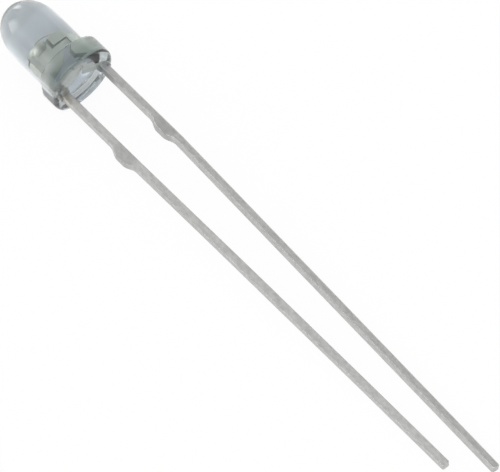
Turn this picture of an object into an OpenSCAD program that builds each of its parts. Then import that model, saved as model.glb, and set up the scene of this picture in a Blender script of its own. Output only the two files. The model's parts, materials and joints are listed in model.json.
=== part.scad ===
// Through hole LED, 3 mm round, water clear, lying at rest on its flange rim and its two lead tips.
// It is drawn upright first: lens axis along +Z with the dome up, underside of the flange at z = 0,
// cathode towards -X, anode towards +X. The last step lays it down, leads towards +X, floor at z = 0.

/* [Lens] */
// Diameter of the straight barrel
lens_d = 3.0; // [2.8:0.05:3.2]
// Height of the straight barrel above the flange
barrel_h = 1.8; // [1.2:0.1:2.6]
// Height of the slightly tapered neck between barrel and dome
neck_h = 0.7; // [0.4:0.1:1.2]
// Diameter at the foot of the dome
dome_d = 2.93; // [2.6:0.01:2.99]
// Height of the dome above the neck
dome_h = 1.8; // [1.3:0.05:2.0]

/* [Flange] */
// Diameter of the flange
flange_d = 3.9; // [3.6:0.05:4.2]
// Thickness of the flange
flange_h = 1.1; // [0.9:0.05:1.4]
// Distance from the lens axis to the cathode flat
flat_x = 1.6; // [1.6:0.01:1.75]
// Edge radius on the dome side of the flange
top_edge_r = 0.06; // [0.02:0.01:0.12]
// Edge radius on the underside of the flange
base_edge_r = 0.12; // [0.05:0.01:0.2]
// Fillet where the barrel meets the flange
root_fillet_r = 0.08; // [0.03:0.01:0.12]
// Depth of the shallow hollow left by the epoxy as it set
dish_depth = 0.1; // [0.02:0.01:0.2]
// Diameter of that hollow
dish_d = 3.1; // [2.6:0.1:3.2]
// Height that the epoxy climbs on the cathode lead
cathode_film_h = 0.6; // [0.2:0.05:0.9]
// Height that the epoxy climbs on the anode lead
anode_film_h = 0.2; // [0.1:0.05:0.9]
// Radius of the foot of each epoxy collar
film_foot_r = 0.36; // [0.36:0.02:0.6]
// Thickness of the epoxy collar at its free end, over the corners of the lead
film_skin = 0.02; // [0.01:0.01:0.05]

/* [Leads] */
// Distance between the leads where they leave the flange
lead_pitch = 2.54; // [2.4:0.01:2.6]
// Width of a lead across its stamped outline
lead_w = 0.42; // [0.36:0.01:0.5]
// Thickness of the stamped sheet
sheet_t = 0.4; // [0.3:0.01:0.5]
// Length of the cathode lead below the flange
cathode_len = 27.3; // [15:0.1:32]
// Extra length of the anode lead
anode_extra = 1.6; // [1:0.1:3]
// How far the frame sits off the lens axis, towards the anode
frame_shift = 0.12; // [0:0.01:0.15]
// How far each lead has strayed towards the anode by the end of its stub
stub_stray = 0.07; // [0:0.01:0.15]
// How far the cathode tip has strayed towards the anode
cathode_stray = 0.43; // [0:0.01:0.8]
// How far the anode tip has strayed towards the cathode
anode_stray = 0.4; // [0:0.01:0.8]
// Share of that stray which shows as a bow, on the cathode and the anode
lead_bows = [0.35, 0.05];
// Cut taken off each corner of a tip
tip_cut = 0.06; // [0.02:0.01:0.12]

/* [Stubs] */
// Distance from the flange to the start of the dam bar stub
stub_start = 3.7; // [2:0.1:6]
// Length of the stub along the lead
stub_len = 1.85; // [1.6:0.05:2.2]
// How far the stub stands proud of the lead
stub_h = 0.23; // [0.05:0.01:0.4]
// Length of the flank on the flange side
stub_rise = 0.7; // [0.2:0.05:0.8]
// Length of the flank on the tip side
stub_fall = 0.65; // [0.2:0.05:0.8]

/* [Cathode head] */
// Height of the reflector cup's rim above the underside of the flange
cup_top = 2.65; // [2.5:0.05:2.9]
// Place of the cup across the frame, from the lens axis
cup_x = -0.4; // [-0.45:0.05:-0.3]
// Outer diameter of the cup at its rim
cup_d = 0.8; // [0.76:0.02:0.9]
// Height of the cup's outside
cup_h = 0.5; // [0.4:0.05:0.6]
// Outer diameter of the cup at its foot
cup_foot_d = 0.6; // [0.5:0.02:0.7]
// Width of the rim
cup_rim = 0.07; // [0.04:0.01:0.1]
// Depth of the reflector
cup_depth = 0.3; // [0.2:0.02:0.36]
// Diameter of the reflector's floor
cup_floor_d = 0.44; // [0.42:0.02:0.5]
// How far the plate's shoulder lies below the rim, on the outer side of the cup
shoulder_drop = 0.25; // [0.2:0.05:0.5]
// Height of the plate below the cup
anvil_h = 1.2; // [1.1:0.05:1.25]
// How far the plate reaches under the head of the post, from the lens axis
anvil_reach = 0.5; // [0.3:0.02:0.56]
// Height of the plate's edge at the end of that reach
anvil_edge = 0.22; // [0.1:0.02:0.3]

/* [Anode head] */
// Gap between the two halves of the frame
post_gap = 0.1; // [0.08:0.01:0.16]
// Width of the post's head
post_head_w = 0.58; // [0.5:0.02:0.64]
// Height of the post's head
post_head_h = 0.54; // [0.4:0.02:0.6]
// How far the post's top lies below the rim of the cup
post_drop = 0.06; // [0:0.02:0.1]
// Width of the post's neck
post_neck_w = 0.28; // [0.2:0.02:0.36]
// Height at which the neck starts to widen into the post's foot
post_neck_z = 1.55; // [1.4:0.05:1.6]
// Place of the inner edge of that foot, from the lens axis
post_foot_x = 0.42; // [0.36:0.02:0.5]

/* [Frame inside the flange] */
// Distance from the lens axis to the outer edges of the frame inside the barrel
frame_half_w = 1.14; // [1.1:0.02:1.25]
// Height at which the leads start to lean inwards
jog_start = 0.25; // [0.1:0.05:0.4]
// Height at which they are upright again
jog_end = 0.7; // [0.6:0.05:0.75]

/* [Chip] */
// Side of the square chip
die_w = 0.26; // [0.2:0.01:0.28]
// Height of the chip
die_h = 0.14; // [0.1:0.01:0.18]
// Thickness of the silver glue under it
glue_t = 0.02; // [0.01:0.005:0.04]
// Radius of the glue spot
glue_r = 0.2; // [0.19:0.005:0.21]
// Radius of the bond pad on top of the chip
pad_r = 0.055; // [0.04:0.005:0.08]
// Thickness of the bond pad
pad_t = 0.01; // [0.005:0.005:0.02]

/* [Bond wire] */
// Diameter of the gold wire
wire_d = 0.03; // [0.025:0.005:0.05]
// Radius of the squashed ball on the pad
ball_r = 0.045; // [0.035:0.005:0.055]
// Height of the squashed ball
ball_h = 0.025; // [0.015:0.005:0.04]
// Height of the loop above the cup's rim
loop_h = 0.2; // [0.16:0.02:0.4]
// Length of the stitch on the post
stitch_l = 0.1; // [0.06:0.01:0.14]
// Thickness of the stitch
stitch_t = 0.02; // [0.01:0.005:0.03]

/* [Hidden] */
$fn = 48;

over = 0.5; // how far a cutting solid runs past what it cuts
lens_r = lens_d / 2;
flange_r = flange_d / 2;
dome_r = dome_d / 2;
dome_z = flange_h + barrel_h + neck_h;
anode_len = cathode_len + anode_extra;
cathode_x = frame_shift - lead_pitch / 2;
anode_x = frame_shift + lead_pitch / 2;
stub_end = stub_start + stub_len;
lead_corner_r = norm([lead_w, sheet_t]) / 2;

// The heads of the frame, from the top down.
cup_z = cup_top - cup_h;
cup_floor_z = cup_top - cup_depth;
cup_inner_x = cup_x + cup_d / 2;
shoulder_z = cup_top - shoulder_drop;
anvil_z = cup_z - anvil_h;
post_top = cup_top - post_drop;
post_x = cup_inner_x + post_gap;
post_under = post_top - post_head_h;
post_outer = post_x + post_head_w;
anvil_top = post_under - post_gap;
plate_x = cup_inner_x - 0.02; // the plate's inner edge, a little back from the rim
neck_x = anvil_reach + post_gap;
plate_cut = 0.15; // cut at the plate's outer corner
head_cut = 0.1; // cut at the outer corner of the post's head
head_nick = 0.04; // cut at its inner corner
head_step = 0.2; // height over which the neck narrows to the head
neck_slope = 0.3; // height over which the neck widens to the foot

// What stands in the cup.
glue_z = cup_floor_z;
die_z = glue_z + glue_t;
pad_z = die_z + die_h;
ball_z = pad_z + pad_t;
stitch_x = post_x + post_head_w / 2;

// Points of a circle's arc about centre c, as [radius from the axis, height] pairs.
function arc_points(c, r, from, to, steps) =
    [for (i = [0:steps]) let (a = from + (to - from) * i / steps) c + r * [cos(a), sin(a)]];

// Smooth step from 0 to 1.
function ease(t) = let (c = min(1, max(0, t))) c * c * (3 - 2 * c);

// How far a lead has strayed sideways at depth d below the flange: a straight drift down to the end
// of the stub, then a lean with a little bow down to the tip.
function stray(d, len, tip_stray, bow) =
    d <= 0 ? 0
    : d <= stub_end ? stub_stray * d / stub_end
    : let (t = (d - stub_end) / (len - stub_end))
      stub_stray + (tip_stray - stub_stray) * (t + bow * t * (1 - t));

// How far the stub stands out at depth d.
function stub_at(d) =
    stub_h * ease((d - stub_start) / stub_rise) * ease((stub_end - d) / stub_fall);

// Depths at which a lead's outline has a point.
stub_depths = [for (i = [0:12]) stub_start + stub_len * i / 12];
function shank_depths(len) =
    [for (i = [1:8]) stub_end + (len - tip_cut - stub_end) * i / 8];

// Outline of a lead below the flange, from its outer edge at the flange round the tip and back.
// The stub is on the edge towards -X.
function lead_outline(x, len, tip_stray, bow) = let (
        depths = concat([0], stub_depths, shank_depths(len)),
        last = len(depths) - 1,
        tip_x = x + stray(len, len, tip_stray, bow),
        left = [for (d = depths) [x + stray(d, len, tip_stray, bow) - lead_w / 2 - stub_at(d), -d]],
        right = [for (i = [last:-1:0]) let (d = depths[i])
            if (i == 0 || i > len(stub_depths) - 1)
                [x + stray(d, len, tip_stray, bow) + lead_w / 2, -d]]
    ) concat(left, [[tip_x - lead_w / 2 + tip_cut, -len], [tip_x + lead_w / 2 - tip_cut, -len]], right);

// The frame inside the lens, from the right edge of each lead at the flange round to its left edge.
// The cathode's plate reaches under the head of the post, and a slanting gap parts the two halves.
cathode_head = [
    [cathode_x + lead_w / 2, jog_start],
    [lead_w - frame_half_w, jog_end],
    [cup_inner_x - post_gap, anvil_z],
    [anvil_reach, anvil_top - anvil_edge],
    [anvil_reach, anvil_top],
    [plate_x, anvil_top],
    [plate_x, shoulder_z],
    [plate_cut - frame_half_w, shoulder_z],
    [-frame_half_w, shoulder_z - plate_cut],
    [-frame_half_w, jog_end],
    [cathode_x - lead_w / 2, jog_start]
];
anode_head = [
    [anode_x + lead_w / 2, jog_start],
    [frame_half_w, jog_end],
    [frame_half_w, post_neck_z - neck_slope],
    [neck_x + post_neck_w, post_neck_z],
    [neck_x + post_neck_w, post_under],
    [post_outer, post_under + head_step],
    [post_outer, post_top - head_cut],
    [post_outer - head_cut, post_top],
    [post_x + head_nick, post_top],
    [post_x, post_top - head_nick],
    [post_x, post_under],
    [neck_x, post_under],
    [neck_x, post_neck_z],
    [post_foot_x, post_neck_z - neck_slope],
    [post_foot_x, anvil_z],
    [anode_x - lead_w / 2, jog_start]
];

// How the part lies: its flange rim and both tips touch the floor. Pitch lowers the tips, and roll
// lifts the longer lead until both tips are level. Each is worked out from the other, four times over.
cathode_low = cathode_x + cathode_stray - lead_w / 2;
anode_low = anode_x - anode_stray - lead_w / 2;
function rest_pitch(roll) = let (
        rise = flange_r - base_edge_r + cathode_low * sin(roll) - sheet_t / 2 * cos(roll),
        run = cathode_len + base_edge_r
    ) atan2(rise, run) + asin(base_edge_r / norm([rise, run]));
function rest_roll(pitch) = asin(anode_extra * tan(pitch) / (anode_low - cathode_low));
function rest_angles(steps, roll = 0) =
    let (pitch = rest_pitch(roll)) steps == 0 ? [pitch, roll] : rest_angles(steps - 1, rest_roll(pitch));
angles = rest_angles(4);
pitch = angles[0];
roll = angles[1];
drop = (flange_r - base_edge_r) * cos(pitch) - base_edge_r * sin(pitch) + base_edge_r;
lens_end = dome_z * cos(pitch) + norm([dome_h * cos(pitch), dome_r * sin(pitch)]);
shift_x = (lens_end - anode_len * cos(pitch)) / 2;
flat_half_w = sqrt(flange_r * flange_r - flat_x * flat_x);
shift_y = (flat_x * cos(roll) + flat_half_w * sin(roll) - flange_r) / 2;

// Lays the upright part down: dome towards -X, cathode towards -Y, one flat side of the leads up.
module laid() {
    translate([shift_x, shift_y, drop])
        rotate([0, pitch, 0])
            rotate([roll, 0, 0])
                rotate([-90, 0, 0])
                    rotate([0, -90, 0])
                        children();
}

// One revolved solid: hollow underside, flange, barrel, tapered neck and elliptic dome.
module lens_body() {
    dish = [for (i = [0:4]) let (t = i / 4) [dish_d / 2 * t, dish_depth * (1 - t * t)]];
    base_edge = arc_points([flange_r - base_edge_r, base_edge_r], base_edge_r, -90, 0, 4);
    top_edge = arc_points([flange_r - top_edge_r, flange_h - top_edge_r], top_edge_r, 0, 90, 3);
    root = arc_points([lens_r + root_fillet_r, flange_h + root_fillet_r], root_fillet_r, 270, 180, 3);
    dome = [for (i = [0:12]) let (a = 90 * i / 12) [dome_r * cos(a), dome_z + dome_h * sin(a)]];
    rotate_extrude($fn = 96)
        polygon(concat(dish, base_edge, top_edge, root, [[lens_r, flange_h + barrel_h]], dome));
}

// Epoxy that climbed a lead before it set: a collar with a hollow flank.
module film_collar(x, h) {
    top_r = lead_corner_r + film_skin;
    flank = [for (i = [0:4]) let (t = i / 4)
        [film_foot_r + (top_r - film_foot_r) * t, -h * t * t]];
    translate([x, 0, 0])
        rotate_extrude()
            polygon(concat([[0, dish_depth + film_skin], [film_foot_r, dish_depth + film_skin]], flank, [[0, -h]]));
}

// The clear epoxy moulding, with the flat on the cathode side and true cavities for what it holds.
module lens() {
    color("lightblue", 0.4)
        laid()
            difference() {
                union() {
                    lens_body();
                    film_collar(cathode_x, cathode_film_h);
                    film_collar(anode_x, anode_film_h);
                }
                translate([-flat_x - flange_r, -flange_r, -cathode_film_h - over])
                    cube([flange_r, flange_d, cathode_film_h + over + flange_h + root_fillet_r]);
                cathode_shape();
                anode_shape();
                glue_shape();
                die_shape();
                pad_shape();
                wire_shape();
            }
}

module stamped(points) {
    rotate([90, 0, 0])
        linear_extrude(sheet_t, center = true)
            polygon(points);
}

// Cathode: lead, wide anvil plate and the coined reflector cup on top of it.
module cathode_shape() {
    difference() {
        union() {
            stamped(concat(lead_outline(cathode_x, cathode_len, cathode_stray, lead_bows[0]), cathode_head));
            translate([cup_x, 0, 0])
                rotate_extrude()
                    polygon([
                        [0, cup_z], [cup_foot_d / 2, cup_z], [cup_d / 2, cup_top - cup_depth],
                        [cup_d / 2, cup_top], [0, cup_top]
                    ]);
        }
        translate([cup_x, 0, 0])
            rotate_extrude()
                polygon([
                    [0, cup_floor_z], [cup_floor_d / 2, cup_floor_z], [cup_d / 2 - cup_rim, cup_top],
                    [cup_d / 2 - cup_rim, cup_top + over], [0, cup_top + over]
                ]);
    }
}

module cathode_lead() {
    color("silver") laid() cathode_shape();
}

// Anode: lead, and the post with its foot, neck and head that takes the wire.
module anode_shape() {
    stamped(concat(lead_outline(anode_x, anode_len, -anode_stray, lead_bows[1]), anode_head));
}

module anode_lead() {
    color("silver") laid() anode_shape();
}

module glue_shape() {
    translate([cup_x, 0, glue_z]) cylinder(h = glue_t, r = glue_r);
}

module die_glue() {
    color("gray") laid() glue_shape();
}

module die_shape() {
    translate([cup_x - die_w / 2, -die_w / 2, die_z]) cube([die_w, die_w, die_h]);
}

module die() {
    color("darkgoldenrod") laid() die_shape();
}

module pad_shape() {
    translate([cup_x, 0, pad_z]) cylinder(h = pad_t, r = pad_r);
}

module bond_pad() {
    color("gold") laid() pad_shape();
}

// The loop of the wire is one cubic curve from the ball to the stitch, swept with an eight sided section.
loop_points = [
    [cup_x, ball_z],
    [cup_x, cup_top + loop_h * 4 / 3],
    [cup_x + (stitch_x - cup_x) * 0.7, cup_top + loop_h * 4 / 3],
    [stitch_x, post_top + stitch_t / 2]
];
function loop_at(t) = let (s = 1 - t)
    s * s * s * loop_points[0] + 3 * s * s * t * loop_points[1]
    + 3 * s * t * t * loop_points[2] + t * t * t * loop_points[3];
function loop_way(t) = let (s = 1 - t, w = s * s * (loop_points[1] - loop_points[0])
    + 2 * s * t * (loop_points[2] - loop_points[1]) + t * t * (loop_points[3] - loop_points[2])) w / norm(w);

module wire_loop() {
    rings = 16;
    sides = 8;
    points = [for (i = [0:rings]) let (p = loop_at(i / rings), w = loop_way(i / rings))
        for (k = [0:sides - 1]) let (a = 360 * k / sides, c = wire_d / 2 * cos(a), s = wire_d / 2 * sin(a))
            [p[0] + w[1] * c, s, p[1] - w[0] * c]];
    walls = [for (i = [0:rings - 1]) for (k = [0:sides - 1]) let (n = (k + 1) % sides)
        each [[i * sides + k, i * sides + n, (i + 1) * sides + n],
              [i * sides + k, (i + 1) * sides + n, (i + 1) * sides + k]]];
    start = [for (k = [sides - 1:-1:0]) k];
    end = [for (k = [0:sides - 1]) rings * sides + k];
    polyhedron(points, concat([start], walls, [end]));
}

module wire_shape() {
    translate([cup_x, 0, ball_z]) cylinder(h = ball_h, r = ball_r);
    wire_loop();
    translate([stitch_x - wire_d / 2, -wire_d, post_top]) cube([stitch_l, 2 * wire_d, stitch_t]);
}

// Gold wire from the pad on the chip to the top of the anode post.
module bond_wire() {
    color("gold") laid() wire_shape();
}

lens();
cathode_lead();
anode_lead();
die_glue();
die();
bond_pad();
bond_wire();
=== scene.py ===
# %% [markdown]
# # A clear 3 mm through hole LED
# The object is a small light emitting diode that lies on a white surface. A clear epoxy moulding
# holds two stamped leads, a chip in a reflector cup and a gold wire as thin as a hair. The packed
# CAD model is loaded first. It never moves, and each new piece is set to it.

# %% Load the frame
import json
import math
import bpy
from mathutils import Matrix, Vector


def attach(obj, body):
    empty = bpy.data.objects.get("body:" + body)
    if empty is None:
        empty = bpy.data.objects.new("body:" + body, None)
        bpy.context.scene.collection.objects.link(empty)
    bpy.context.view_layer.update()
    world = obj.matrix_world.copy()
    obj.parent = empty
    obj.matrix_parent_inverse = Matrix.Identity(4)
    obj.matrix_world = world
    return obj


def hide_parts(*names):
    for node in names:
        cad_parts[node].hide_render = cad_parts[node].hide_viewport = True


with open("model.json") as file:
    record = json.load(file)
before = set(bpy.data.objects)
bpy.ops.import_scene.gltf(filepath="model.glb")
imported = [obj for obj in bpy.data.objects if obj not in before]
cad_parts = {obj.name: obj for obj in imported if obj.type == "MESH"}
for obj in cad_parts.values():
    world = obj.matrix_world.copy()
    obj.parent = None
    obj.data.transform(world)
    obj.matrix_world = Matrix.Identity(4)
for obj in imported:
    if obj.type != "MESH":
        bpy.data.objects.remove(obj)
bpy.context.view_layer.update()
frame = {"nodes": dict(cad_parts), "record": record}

MM = 0.001
nodes = frame["nodes"]
mounts = {m["name"]: m for m in frame["record"]["mounts"]}
print("nodes:", sorted(nodes))

# %% [markdown]
# ## Axes of the part
# The LED lies a little tilted, because its flange is thicker than its leads. Everything about it is
# simpler upright, with the dome up and the underside of the flange at height 0. The chip is a small
# block that stands square in the part, so its faces give the three directions, and the barrel mount
# gives a point on the axis. One matrix then lays each finished piece down where the CAD model lies.

# %% Sizes of the moulding, in millimetres
# All but the films are as in the part's source. The source has a longer film on the cathode lead.
# Two points less than CLOSE apart count as being at one height.
LENS_R = 1.5
BARREL_H = 1.8
NECK_H = 0.7
DOME_R = 2.93 / 2
DOME_H = 1.8
FLANGE_R = 1.95
FLANGE_H = 1.1
FLAT_X = 1.6
TOP_EDGE_R = 0.06
BASE_EDGE_R = 0.12
ROOT_FILLET_R = 0.08
DISH_R = 1.55
DISH_DEPTH = 0.1
FRAME_SHIFT = 0.12
LEAD_PITCH = 2.54
LEAD_W = 0.42
SHEET_T = 0.4
FILM_FOOT_R = 0.36
FILM_SKIN = 0.02
FILM_LIP = 0.015
CATHODE_FILM_H = 0.22
ANODE_FILM_H = 0.2
CLOSE = 0.001


# %% Directions read from the chip's faces
def chip_face_towards(direction):
    normals = [face.normal.copy() for face in nodes["die"].data.polygons]
    return max(normals, key=lambda n: n.dot(Vector(direction))).normalized()


dome_way = chip_face_towards((-1, 0, 0))
anode_way = chip_face_towards((0, 1, 0))
up_face_way = chip_face_towards((0, 0, 1))
barrel_middle = Vector(mounts["barrel"]["pos_m"])
barrel_middle_h = FLANGE_H + ROOT_FILLET_R + (BARREL_H - ROOT_FILLET_R) / 2
base_centre = barrel_middle - dome_way * barrel_middle_h * MM

lay_down = Matrix((anode_way, -up_face_way, dome_way)).transposed().to_4x4()
lay_down.translation = base_centre
print("dome points to", [round(v, 4) for v in dome_way])
print("base centre at", [round(v, 5) for v in base_centre])

# %% [markdown]
# ## Small helpers
# Every colour below is written as it would be picked on a screen, and one function turns it to the
# linear values that the renderer works in. The other functions add a node with its settings, so that
# each material further down reads as a short list of layers.


# %% Colour and node helpers
def colour(text, alpha=1.0):
    parts = [int(text[i:i + 2], 16) / 255 for i in (1, 3, 5)]
    linear = [c / 12.92 if c <= 0.04045 else ((c + 0.055) / 1.055) ** 2.4 for c in parts]
    return (*linear, alpha)


def add_node(tree, kind, inputs=None, **settings):
    node = tree.nodes.new(kind)
    for name, value in settings.items():
        setattr(node, name, value)
    for socket, value in (inputs or {}).items():
        if isinstance(value, bpy.types.NodeSocket):
            tree.links.new(value, node.inputs[socket])
        else:
            node.inputs[socket].default_value = value
    return node


def new_material(name):
    material = bpy.data.materials.new(name)
    material.use_nodes = True
    material.node_tree.nodes.clear()
    return material, material.node_tree


def part_coordinates(tree):
    """Position on the upright part, in millimetres: X to the anode, Z to the dome."""
    place = add_node(tree, "ShaderNodeTexCoord")
    return add_node(tree, "ShaderNodeMapping", {
        "Vector": place.outputs["Object"], "Location": base_centre,
        "Rotation": lay_down.to_euler(), "Scale": (MM, MM, MM),
    }, vector_type="TEXTURE").outputs["Vector"]


# %% Helpers for the layers of a material
def noise(tree, coords, scale, detail, roughness=0.5):
    return add_node(tree, "ShaderNodeTexNoise", {
        "Vector": coords, "Scale": scale, "Detail": detail, "Roughness": roughness}).outputs["Fac"]


def ramp(tree, value, start, end, low=0.0, high=1.0, interpolation_type="LINEAR"):
    """Low where the value is at start, high where it is at end, and held at both beyond them."""
    return add_node(tree, "ShaderNodeMapRange", {
        "Value": value, "From Min": start, "From Max": end, "To Min": low, "To Max": high},
        interpolation_type=interpolation_type).outputs["Result"]


def combine(tree, operation, first, second):
    return add_node(tree, "ShaderNodeMath", {0: first, 1: second}, operation=operation).outputs[0]


def along(tree, coords, direction):
    """How far a point lies along a direction."""
    return add_node(tree, "ShaderNodeVectorMath", {0: coords, 1: direction},
                    operation="DOT_PRODUCT").outputs["Value"]


def mix_colours(tree, factor, first, second):
    return add_node(tree, "ShaderNodeMix", {"Factor": factor, 6: first, 7: second},
                    data_type="RGBA").outputs[2]


def bumped(tree, height, strength, distance_mm):
    return add_node(tree, "ShaderNodeBump", {
        "Height": height, "Strength": strength, "Distance": distance_mm * MM}).outputs["Normal"]


# %% Mesh helpers
def only(*objects):
    bpy.ops.object.select_all(action="DESELECT")
    for obj in objects:
        obj.select_set(True)
    bpy.context.view_layer.objects.active = objects[0]


def apply_modifier(obj, kind, **settings):
    only(obj)
    modifier = obj.modifiers.new(kind.title(), kind)
    for name, value in settings.items():
        setattr(modifier, name, value)
    bpy.ops.object.modifier_apply(modifier=modifier.name)


def smooth_but_flat(obj, degrees):
    """Smooth shading in which the large flat faces stay flat and only the rounded edges turn."""
    only(obj)
    bpy.ops.object.shade_smooth_by_angle(angle=math.radians(degrees))
    apply_modifier(obj, "WEIGHTED_NORMAL", mode="FACE_AREA", weight=100, keep_sharp=True)


def arc(centre, radius, start, end, steps):
    angles = [math.radians(start + (end - start) * i / steps) for i in range(steps + 1)]
    return [(centre[0] + radius * math.cos(a), centre[1] + radius * math.sin(a)) for a in angles]


# %% [markdown]
# ## The epoxy moulding
# The real moulding is cast in a cup shaped mould, flange up, with the leads hung into it. It could
# be modelled with a profile and Spin, but extruding one disc ring by ring, and scaling each ring, is
# how a round form grows by hand, and it leaves closed poles. The shell here is the outer skin alone,
# with no cavity round the frame: light then goes from air to epoxy to metal, as it does in the
# real thing, with no film of air between them.

# %% Turn a closed round form from rings of (radius, height)
SIDES = 240
POLE_R = 0.01


def turn(name, rings, x=0.0):
    bpy.ops.object.select_all(action="DESELECT")
    (first_r, first_z), *rest = rings
    bpy.ops.mesh.primitive_circle_add(
        vertices=SIDES, radius=first_r * MM, fill_type="NGON", location=(x * MM, 0, first_z * MM))
    obj = bpy.context.object
    obj.name = name
    bpy.ops.object.transform_apply(location=True)
    bpy.ops.object.mode_set(mode="EDIT")
    bpy.ops.mesh.select_all(action="SELECT")
    r, z = first_r, first_z
    for next_r, next_z in rest:
        bpy.ops.mesh.extrude_region_move(TRANSFORM_OT_translate={"value": (0, 0, (next_z - z) * MM)})
        k = next_r / r
        bpy.ops.transform.resize(value=(k, k, 1), center_override=(x * MM, 0, next_z * MM))
        r, z = next_r, next_z
    bpy.ops.mesh.select_all(action="SELECT")
    bpy.ops.mesh.remove_doubles(threshold=1e-8)
    bpy.ops.mesh.normals_make_consistent(inside=False)
    bpy.ops.object.mode_set(mode="OBJECT")
    return obj


# %% The moulding's rings, from the hollow of the underside to the top of the dome
dish = [(max(POLE_R, DISH_R * t), DISH_DEPTH * (1 - t * t)) for t in (i / 6 for i in range(7))]
base_edge = arc((FLANGE_R - BASE_EDGE_R, BASE_EDGE_R), BASE_EDGE_R, -90, 0, 6)
top_edge = arc((FLANGE_R - TOP_EDGE_R, FLANGE_H - TOP_EDGE_R), TOP_EDGE_R, 0, 90, 4)
root = arc((LENS_R + ROOT_FILLET_R, FLANGE_H + ROOT_FILLET_R), ROOT_FILLET_R, 270, 180, 4)
dome_foot = FLANGE_H + BARREL_H + NECK_H
dome = [(max(POLE_R, DOME_R * r), dome_foot + DOME_H * h) for r, h in arc((0, 0), 1, 0, 90, 28)]
barrel_end = [(LENS_R, FLANGE_H + BARREL_H)]
lens = turn("lens_shell", dish + base_edge + top_edge + root + barrel_end + dome)
print("moulding:", len(lens.data.polygons), "faces")


# %% [markdown]
# The flat marks the cathode side. In this LED the moulding was cast about 7 degrees askew on the
# frame, which shows in the outline of the flange. Cutting the flat with a plane would leave sharp
# corners, and a Bevel would be wider than the narrow faces of the round flange. The rings are drawn
# in to the flat instead, so the surface stays one smooth sheet with large upright corners.

# %% Draw the rings in to the cathode flat
ASKEW = 7.0
CORNER_R = 1.1
FLAT_BASE_R = 0.28
BASE_BLEND_DEGREES = 20
INNER_R = 0.9
corner_x = FLAT_X - CORNER_R
corner_y = math.sqrt((FLANGE_R - CORNER_R) ** 2 - corner_x ** 2)
corner_turn = math.degrees(math.atan2(corner_y, corner_x))


def wall_reach(turned):
    """Radius of the flange's wall in the direction turned by so many degrees from the flat."""
    a = math.radians(turned)
    if FLAT_X * math.tan(a) <= corner_y:
        return FLAT_X / math.cos(a)
    beside = corner_x * math.cos(a) + corner_y * math.sin(a)
    return beside + math.sqrt(beside ** 2 - (FLANGE_R - CORNER_R) ** 2 + CORNER_R ** 2)


def drawn_in(r, z, turned):
    """New radius and height of a point of the flange near the flat."""
    wall = wall_reach(turned)
    t = min(1.0, (corner_turn - turned) / BASE_BLEND_DEGREES)
    base_r = BASE_EDGE_R + (FLAT_BASE_R - BASE_EDGE_R) * t * t * (3 - 2 * t)
    rim = FLANGE_R - BASE_EDGE_R
    foot = LENS_R + ROOT_FILLET_R
    if z > BASE_EDGE_R + CLOSE:
        if r > foot:
            r = foot + (r - foot) * (wall - foot) / (FLANGE_R - foot)
        return r, z
    if r > rim:
        lean = math.asin(min(1.0, (r - rim) / BASE_EDGE_R))
        r, z = wall - base_r + base_r * math.sin(lean), base_r * (1 - math.cos(lean))
    elif r > INNER_R:
        r, z = INNER_R + (r - INNER_R) * (wall - base_r - INNER_R) / (rim - INNER_R), 0.0
    return r, max(z, DISH_DEPTH * (1 - (r / DISH_R) ** 2))


moved = 0
for vertex in lens.data.vertices:
    x, y, z = vertex.co / MM
    compass = math.atan2(y, x)
    turned = abs((math.degrees(compass) + ASKEW) % 360 - 180)
    if z < FLANGE_H + CLOSE and turned < corner_turn:
        r, z = drawn_in(math.hypot(x, y), z, turned)
        vertex.co = Vector((r * math.cos(compass), r * math.sin(compass), z)) * MM
        moved += 1
print("flat at", FLAT_X, "mm from the axis,", moved, "points drawn in")

# %% [markdown]
# Where the leads leave the epoxy, it climbed them a little before it set. Each collar is turned in
# the same way and joined to the moulding with a Boolean, so that the skin stays one closed surface.

# %% Collars of epoxy round the leads
def collar(x, height):
    top_r = math.hypot(LEAD_W, SHEET_T) / 2 + FILM_SKIN
    seat = DISH_DEPTH + FILM_SKIN
    flank = [
        (FILM_FOOT_R + (top_r - FILM_FOOT_R) * t, -height * t * t)
        for t in (i / 8 for i in range(9))
    ]
    rings = [(POLE_R, -height), (top_r - FILM_LIP, -height), *flank[::-1]]
    return turn("collar", rings + [(FILM_FOOT_R, seat), (POLE_R, seat)], x)


cathode_x = FRAME_SHIFT - LEAD_PITCH / 2
anode_x = FRAME_SHIFT + LEAD_PITCH / 2
for x, height in ((cathode_x, CATHODE_FILM_H), (anode_x, ANODE_FILM_H)):
    ring = collar(x, height)
    apply_modifier(lens, "BOOLEAN", operation="UNION", solver="EXACT", object=ring)
    bpy.data.objects.remove(ring)

# %% Shade the shell and lay it down
only(lens)
bpy.ops.object.shade_smooth_by_angle(angle=math.radians(40))
lens.data.transform(lay_down)
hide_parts("lens")
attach(lens, "root")
print("lens shell:", len(lens.data.polygons), "faces")

# %% [markdown]
# ## The stamped leads
# The leads and the heads inside the lens are punched from one sheet of tinned steel. The punch draws
# the edges of the front face down round, the tin runs round all edges, and each lead has turned a
# few degrees about its own length. The CAD solids have the right outline with sharp edges. A copy of
# each is stood upright and merged, and its flat faces are made whole again. The long edges of the
# front are then bevelled one side at a time, each to its own radius, and the small ones by a modifier.
# The normals are weighted by face, so the flat faces stay flat and only the edges turn.

# %% Radii of the edges and places on the leads, in millimetres
EDGE_R = 0.035
FRONT_LEFT_R = 0.03
FRONT_RIGHT_R = {"cathode_lead": 0.05, "anode_lead": 0.14}
TURN_OF = {"cathode_lead": -7.0, "anode_lead": 6.0}
LEAD_X = {"cathode_lead": cathode_x, "anode_lead": anode_x}
FRONT_FROM = -0.3
FRONT_Y = -0.19
SIDEWAYS = 0.3
SHARP_DEGREES = 35
TWIST_FROM = -0.1
TWIST_TO = -0.8


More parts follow.
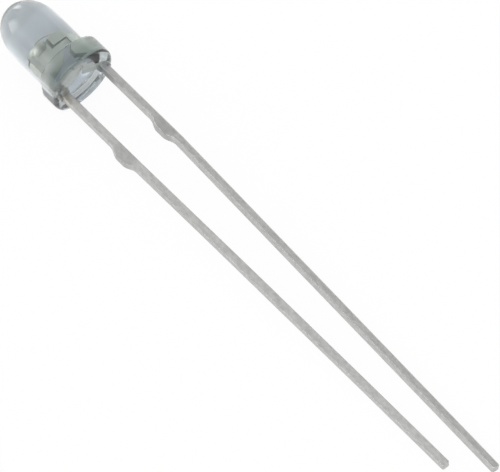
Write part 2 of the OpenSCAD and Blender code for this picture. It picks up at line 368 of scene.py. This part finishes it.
# %% Copy a lead, stand it upright and make its faces whole
def upright_copy(node):
    obj = nodes[node].copy()
    obj.data = nodes[node].data.copy()
    obj.name = node + "_rounded"
    obj.parent = None
    for key in list(obj.keys()):
        del obj[key]
    bpy.context.scene.collection.objects.link(obj)
    obj.data.transform(lay_down.inverted())
    only(obj)
    bpy.ops.object.mode_set(mode="EDIT")
    bpy.ops.mesh.select_all(action="SELECT")
    bpy.ops.mesh.remove_doubles(threshold=1e-7)
    bpy.ops.mesh.dissolve_limited(angle_limit=math.radians(0.2))
    bpy.ops.object.mode_set(mode="OBJECT")
    return obj


# %% Round the sharp edges that a rule picks
def round_edges(obj, radius, wanted):
    """Bevel sharp edges where wanted(middle, outwards) is true, both in the upright part's axes."""
    mesh = obj.data
    normals = {}
    for face in mesh.polygons:
        face.select = False
        for key in face.edge_keys:
            normals.setdefault(key, []).append(face.normal.copy())
    for vertex in mesh.vertices:
        vertex.select = False
    picked = 0
    for edge in mesh.edges:
        sides = normals[edge.key]
        sharp = len(sides) == 2 and sides[0].angle(sides[1]) > math.radians(SHARP_DEGREES)
        middle = (mesh.vertices[edge.vertices[0]].co + mesh.vertices[edge.vertices[1]].co) / 2
        edge.select = sharp and wanted(middle / MM, sides[0] + sides[1])
        picked += edge.select
    only(obj)
    bpy.ops.object.mode_set(mode="EDIT")
    bpy.ops.mesh.select_mode(type="EDGE")
    bpy.ops.mesh.bevel(offset=radius * MM, segments=4, clamp_overlap=False)
    bpy.ops.mesh.select_mode(type="VERT")
    bpy.ops.object.mode_set(mode="OBJECT")
    print(obj.name, "rounded", picked, "edges to", radius, "mm")


def on_front(middle):
    return middle.z < FRONT_FROM and middle.y < FRONT_Y


def on_front_right(middle, outwards):
    return on_front(middle) and outwards.x > SIDEWAYS


def on_front_left(middle, outwards):
    return on_front(middle) and outwards.x < -SIDEWAYS


# %% Turn a lead about its own length below the flange
def turn_lead(obj, node):
    only(obj)
    bpy.ops.object.mode_set(mode="EDIT")
    for depth in (TWIST_FROM, TWIST_TO):
        bpy.ops.mesh.select_all(action="SELECT")
        bpy.ops.mesh.bisect(plane_co=(0, 0, depth * MM), plane_no=(0, 0, 1))
    bpy.ops.mesh.select_all(action="DESELECT")
    bpy.ops.object.mode_set(mode="OBJECT")
    for vertex in obj.data.vertices:
        vertex.select = vertex.co.z < (TWIST_TO + CLOSE) * MM
    bpy.ops.object.mode_set(mode="EDIT")
    bpy.ops.transform.rotate(value=math.radians(-TURN_OF[node]), orient_axis="Z",
                             center_override=(LEAD_X[node] * MM, 0, 0))
    bpy.ops.object.mode_set(mode="OBJECT")


# %% Finish both leads
def rounded_lead(node):
    obj = upright_copy(node)
    round_edges(obj, FRONT_RIGHT_R[node], on_front_right)
    round_edges(obj, FRONT_LEFT_R, on_front_left)
    turn_lead(obj, node)
    apply_modifier(obj, "BEVEL", width=EDGE_R * MM, segments=3, limit_method="ANGLE",
                   angle_limit=math.radians(SHARP_DEGREES))
    smooth_but_flat(obj, 50)
    obj.data.transform(lay_down)
    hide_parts(node)
    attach(obj, "root")
    print(obj.name, len(obj.data.polygons), "faces, lowest point",
          round(min(v.co.z for v in obj.data.vertices) / MM, 3), "mm")
    return obj


cathode = rounded_lead("cathode_lead")
anode = rounded_lead("anode_lead")

# %% [markdown]
# ## Clear epoxy
# The moulding is water clear cast epoxy. It bends light more than window glass does, with an index
# of about 1.53. Its skin copies a polished mould, so it is glossy, and its body has a faint blue
# grey cast that shows because every ray crosses it twice. The low edge of the flange has painted
# shade at its two ends, darkest by the flat, put into the colour of the clear skin.


# %% Places on the rim that takes painted shade, in millimetres on the upright part
RIM_R = (1.55, 1.7)
RIM_Z = (0.75, 0.4)
BACK_WAY = (0.41, 0.91, 0)
BACK_FADE = (1.5, 0.7)
FLAT_WAY = (-0.91, 0.41, 0)
FLAT_END = (0.8, 1.4)


# %% Epoxy material
def painted_rim_shade(tree, coords):
    """Clear skin, with painted shade low on the rim, darkest there by the flat, and none at the back.
    """
    height = add_node(tree, "ShaderNodeSeparateXYZ", {"Vector": coords}).outputs["Z"]
    level = add_node(tree, "ShaderNodeVectorMath", {0: coords, 1: (1, 1, 0)}, operation="MULTIPLY")
    radius = add_node(tree, "ShaderNodeVectorMath", {0: level.outputs[0]}, operation="LENGTH")
    outer = ramp(tree, radius.outputs["Value"], *RIM_R)
    rim = combine(tree, "MULTIPLY", outer, ramp(tree, height, *RIM_Z))
    rim = combine(tree, "MULTIPLY", rim, ramp(tree, along(tree, coords, BACK_WAY), *BACK_FADE))
    by_flat = ramp(tree, along(tree, coords, FLAT_WAY), *FLAT_END)
    # Painted shade: the clear skin darkened low on the rim, most of all by the flat.
    dull = mix_colours(tree, by_flat, colour("#C0CAC8"), colour("#8A9696"))
    return mix_colours(tree, rim, colour("#F8FAFA"), dull)


def clear_epoxy():
    material, tree = new_material("clear cast epoxy")
    coords = part_coordinates(tree)
    epoxy = add_node(tree, "ShaderNodeBsdfPrincipled", {
        "Base Color": painted_rim_shade(tree, coords), "Roughness": 0.06, "IOR": 1.53,
        "Transmission Weight": 1.0, "Coat Weight": 0.5, "Coat Roughness": 0.04, "Coat IOR": 1.5,
        "Normal": bumped(tree, noise(tree, coords, 1.2, 2.0), 0.08, 0.05)})
    body = add_node(tree, "ShaderNodeVolumeAbsorption", {
        "Color": colour("#90A6B4"), "Density": 250.0})
    through = add_node(tree, "ShaderNodeBsdfTransparent", {"Color": colour("#7C8286")})
    ray = add_node(tree, "ShaderNodeLightPath")
    mix = add_node(tree, "ShaderNodeMixShader", {
        0: ray.outputs["Is Shadow Ray"], 1: epoxy.outputs["BSDF"], 2: through.outputs["BSDF"]})
    add_node(tree, "ShaderNodeOutputMaterial", {
        "Surface": mix.outputs["Shader"], "Volume": body.outputs["Volume"]})
    return material


lens.data.materials.clear()
lens.data.materials.append(clear_epoxy())

# %% [markdown]
# ## Tinned steel
# The leads are steel strip under a thin coat of dull tin. Tin is a soft white metal, rubbed matt by
# handling. Its grain is about a tenth of a millimetre and is drawn a little coarser, at a seventh. It
# is duller on the sheared stubs of the dam bar, and a little flux has stained the cathode lead by the
# flange. Inside the lens the frame is plated with silver, a shade warmer, tarnished towards the anode.


# %% Places on the leads, in millimetres on the upright part
STUB_MIDDLE = -4.6
STUB_REACH = (0.75, 0.6)
STAIN_Z = (-1.3, -0.3)
LENS_Z = (-0.1, 0.3)


# %% Lead material
def tin_colour(tree, coords, x, z, speckle):
    """Dull tin, duller on the stubs, with a flux stain on the cathode lead by the flange."""
    tin = mix_colours(tree, speckle, colour("#BCBCBB"), colour("#CFCFCD"))
    stain = combine(tree, "MULTIPLY", ramp(tree, z, *STAIN_Z), combine(tree, "LESS_THAN", x, 0.0))
    spots = ramp(tree, noise(tree, coords, 4.5, 3.0), 0.42, 0.62)
    tin = mix_colours(tree, combine(tree, "MULTIPLY", stain, spots), tin, colour("#B4AE9A"))
    from_stub = combine(tree, "ABSOLUTE", combine(tree, "SUBTRACT", z, STUB_MIDDLE), 0.0)
    return mix_colours(tree, ramp(tree, from_stub, *STUB_REACH, high=0.3), tin, colour("#A2A2A0"))


def silver_colour(tree, coords, x, speckle):
    """Silver plate, tarnished in clouds that thicken towards the anode."""
    silver = mix_colours(tree, speckle, colour("#EEECE0"), colour("#FFFFF6"))
    clouds = combine(tree, "MULTIPLY", noise(tree, coords, 1.7, 4.0, 0.6), 1.6)
    tarnished = ramp(tree, combine(tree, "ADD", clouds, x), -0.15, 0.35)
    return mix_colours(tree, tarnished, silver, colour("#DFE3D6"))


def tinned_steel():
    material, tree = new_material("dull tinned steel")
    coords = part_coordinates(tree)
    place = add_node(tree, "ShaderNodeSeparateXYZ", {"Vector": coords})
    x, z = place.outputs["X"], place.outputs["Z"]
    drawn_out = add_node(tree, "ShaderNodeMapping", {"Vector": coords, "Scale": (1.0, 1.0, 0.5)})
    grain = noise(tree, drawn_out.outputs["Vector"], 7.0, 4.0, 0.65)
    speckle = ramp(tree, grain, 0.36, 0.64)
    plate = mix_colours(tree, ramp(tree, z, *LENS_Z), tin_colour(tree, coords, x, z, speckle),
                        silver_colour(tree, coords, x, speckle))
    metal = add_node(tree, "ShaderNodeBsdfPrincipled", {
        "Base Color": plate, "Metallic": 1.0,
        "Roughness": ramp(tree, noise(tree, coords, 0.9, 3.0), 0.3, 0.7, 0.41, 0.48),
        "Normal": bumped(tree, grain, 0.12, 0.03)})
    add_node(tree, "ShaderNodeOutputMaterial", {"Surface": metal.outputs["BSDF"]})
    return material


tin = tinned_steel()
for lead in (cathode, anode):
    lead.data.materials.clear()
    lead.data.materials.append(tin)

# %% [markdown]
# ## Chip, glue, pad and wire
# The chip is a block of crystal about a quarter of a millimetre wide, amber where light comes
# through it. Silver filled glue holds it. The pad and the wire are gold. They are the CAD pieces
# themselves, because at this size only their colour and gloss can be seen through the lens.


# %% Small inner materials
def speckled(name, dark, light, grain_mm, roughness, metallic):
    material, tree = new_material(name)
    grain = noise(tree, part_coordinates(tree), 1 / grain_mm, 3.0)
    surface = add_node(tree, "ShaderNodeBsdfPrincipled", {
        "Base Color": mix_colours(tree, grain, colour(dark), colour(light)),
        "Roughness": roughness, "Metallic": metallic})
    add_node(tree, "ShaderNodeOutputMaterial", {"Surface": surface.outputs["BSDF"]})
    return material


inner = {
    "die": speckled("crystal chip", "#7A5A34", "#B8894F", 0.05, 0.3, 0.0),
    "die_glue": speckled("silver filled glue", "#8C8A84", "#B5B2A8", 0.03, 0.6, 0.3),
    "bond_pad": speckled("gold pad", "#C79A45", "#E6C06A", 0.02, 0.3, 1.0),
    "bond_wire": speckled("gold wire", "#C79A45", "#E6C06A", 0.02, 0.25, 1.0),
}
for name, material in inner.items():
    nodes[name].data.materials.clear()
    nodes[name].data.materials.append(material)
    print(name, "is", material.name)

# %% [markdown]
# ## Floor
# The photograph has a pure white ground. The floor is matt white, and the camera, the metal and the
# epoxy see it with some light of its own added, so it reads as white and still takes the shadow.

# %% White floor
FLOOR_SIZE = 4.0
SEEN_GLOW = 0.93
GLOW_THROUGH_EPOXY = 0.08

bpy.ops.object.select_all(action="DESELECT")
bpy.ops.mesh.primitive_plane_add(size=FLOOR_SIZE, location=(0, 0, 0))
floor = bpy.context.object
floor.name = "floor"
bpy.ops.object.transform_apply(location=True)
material, tree = new_material("white ground")
paper = add_node(tree, "ShaderNodeBsdfDiffuse", {"Color": colour("#FAFAFA")})
glow = add_node(tree, "ShaderNodeEmission", {"Color": colour("#FFFFFF"), "Strength": 1.0})
ray = add_node(tree, "ShaderNodeLightPath").outputs
seen = combine(tree, "MAXIMUM", ray["Is Camera Ray"], ray["Is Glossy Ray"])
share = add_node(tree, "ShaderNodeMix", {
    0: ray["Is Transmission Ray"], 2: combine(tree, "MULTIPLY", seen, SEEN_GLOW),
    3: GLOW_THROUGH_EPOXY})
mix = add_node(tree, "ShaderNodeMixShader", {
    0: share.outputs[0], 1: paper.outputs["BSDF"], 2: glow.outputs["Emission"]})
add_node(tree, "ShaderNodeOutputMaterial", {"Surface": mix.outputs["Shader"]})
floor.data.materials.append(material)

# %% [markdown]
# ## Camera
# The photograph looks down on the part with a long lens. The axis of the LED runs at 45 degrees
# across the picture, dome up and to the left, and its leads come 22.5 degrees towards the camera.
# The plane of the leads is turned 24 degrees about the axis, so the cathode's outer side shows.
# The camera's own three directions follow from those angles.

# %% Camera from the view angles
LEAN = math.radians(22.5)
TURN = math.radians(24.0)
SCALE_PX_PER_MM = 20.75
IMAGE_W, IMAGE_H = 500, 472
BASE_PX = (81.5, 81.2)
DISTANCE_MM = 350.0
SENSOR_MM = 36.0

diagonal = math.sqrt(0.5)
dome_seen = Vector((-diagonal * math.cos(LEAN), diagonal * math.cos(LEAN), -math.sin(LEAN)))
side = Vector((diagonal, diagonal, 0))
front = Vector((-diagonal * math.sin(LEAN), diagonal * math.sin(LEAN), math.cos(LEAN)))
anode_seen = math.cos(TURN) * side - math.sin(TURN) * front
up_face_seen = math.cos(TURN) * front + math.sin(TURN) * side
to_view = Matrix((dome_seen, anode_seen, up_face_seen)).transposed()
to_part = Matrix((dome_way, anode_way, up_face_way)).transposed()
turn_camera = to_part @ to_view.inverted()
right, up, back = (turn_camera @ Vector(v) for v in ((1, 0, 0), (0, 1, 0), (0, 0, 1)))

off_x = (IMAGE_W / 2 - BASE_PX[0]) / SCALE_PX_PER_MM * MM
off_y = (IMAGE_H / 2 - BASE_PX[1]) / SCALE_PX_PER_MM * MM
target = base_centre + right * off_x - up * off_y
camera_data = bpy.data.cameras.new("camera")
camera = bpy.data.objects.new("camera", camera_data)
bpy.context.scene.collection.objects.link(camera)
camera.matrix_world = Matrix.Translation(target + back * DISTANCE_MM * MM) @ turn_camera.to_4x4()
camera_data.sensor_width = SENSOR_MM
camera_data.lens = SCALE_PX_PER_MM * DISTANCE_MM * SENSOR_MM / IMAGE_W
camera_data.clip_start = 0.01
camera_data.clip_end = 10
bpy.context.scene.camera = camera
print("camera looks down at", round(math.degrees(math.asin(back.z)), 1), "degrees")


# %% [markdown]
# ## Light
# Soft studio light, all of it painted into the surround, so every reflection on the dome stays soft.
# It is bright overhead and falls off to the horizon, as under a large diffuser. Four soft boxes stand
# on the horizon. They light the dome's left side, its right side with the right edges of the leads,
# the glint near the tip and the underside of the flange. A round one hangs by the camera.

# %% Soft lights in the surround
SKY_CLIMB = (0.3, 0.8)
ZENITH = 0.72
HORIZON = 0.08
BOX_FADE = 0.35

world = bpy.data.worlds.new("surround")
bpy.context.scene.world = world
world.use_nodes = True
tree = world.node_tree
tree.nodes.clear()
way = add_node(tree, "ShaderNodeTexCoord").outputs["Generated"]
height = add_node(tree, "ShaderNodeSeparateXYZ", {"Vector": way}).outputs["Z"]
flattened = add_node(tree, "ShaderNodeVectorMath", {0: way, 1: (1, 1, 0)}, operation="MULTIPLY")
compass_way = add_node(tree, "ShaderNodeVectorMath", {0: flattened.outputs[0]}, operation="NORMALIZE")


def fade(value, start, end, low, high):
    return ramp(tree, value, start, end, low, high, "SMOOTHSTEP")


def soft_box(azimuth, half_width, top, strength):
    """A light that stands on the horizon, by compass angle and height angle in degrees."""
    a = math.radians(azimuth)
    towards = along(tree, compass_way.outputs[0], (math.cos(a), math.sin(a), 0))
    across = fade(towards, math.cos(math.radians(half_width)), 1.0, 0.0, strength)
    edge = math.sin(math.radians(top))
    return combine(tree, "MULTIPLY", across, fade(height, edge, edge - BOX_FADE, 0.0, 1.0))


def round_box(azimuth, elevation, core, edge, strength):
    """A round light: full inside core degrees from its middle, gone at edge degrees."""
    a, e = math.radians(azimuth), math.radians(elevation)
    middle = (math.cos(a) * math.cos(e), math.sin(a) * math.cos(e), math.sin(e))
    towards = along(tree, way, middle)
    return fade(towards, math.cos(math.radians(edge)), math.cos(math.radians(core)), 0.0, strength)


# %% Surround
behind_left_side = soft_box(-136, 22, 45, 2.5)
behind_right_side = soft_box(113, 50, 40, 1.0)
behind_tip = soft_box(165, 10, 30, 2.5)
broad_behind = soft_box(-168, 60, 60, 0.6)
by_the_camera = round_box(-60, 48, 15, 40, 1.8)
light = fade(height, *SKY_CLIMB, HORIZON, ZENITH)
for box in (behind_left_side, behind_right_side, behind_tip, broad_behind, by_the_camera):
    light = combine(tree, "ADD", light, box)
surround = add_node(tree, "ShaderNodeBackground", {"Color": colour("#FFFFFF"), "Strength": light})
add_node(tree, "ShaderNodeOutputWorld", {"Surface": surround.outputs["Background"]})
bpy.context.scene.view_settings.view_transform = "Standard"
print("surround with 5 soft boxes, zenith", ZENITH, "horizon", HORIZON)
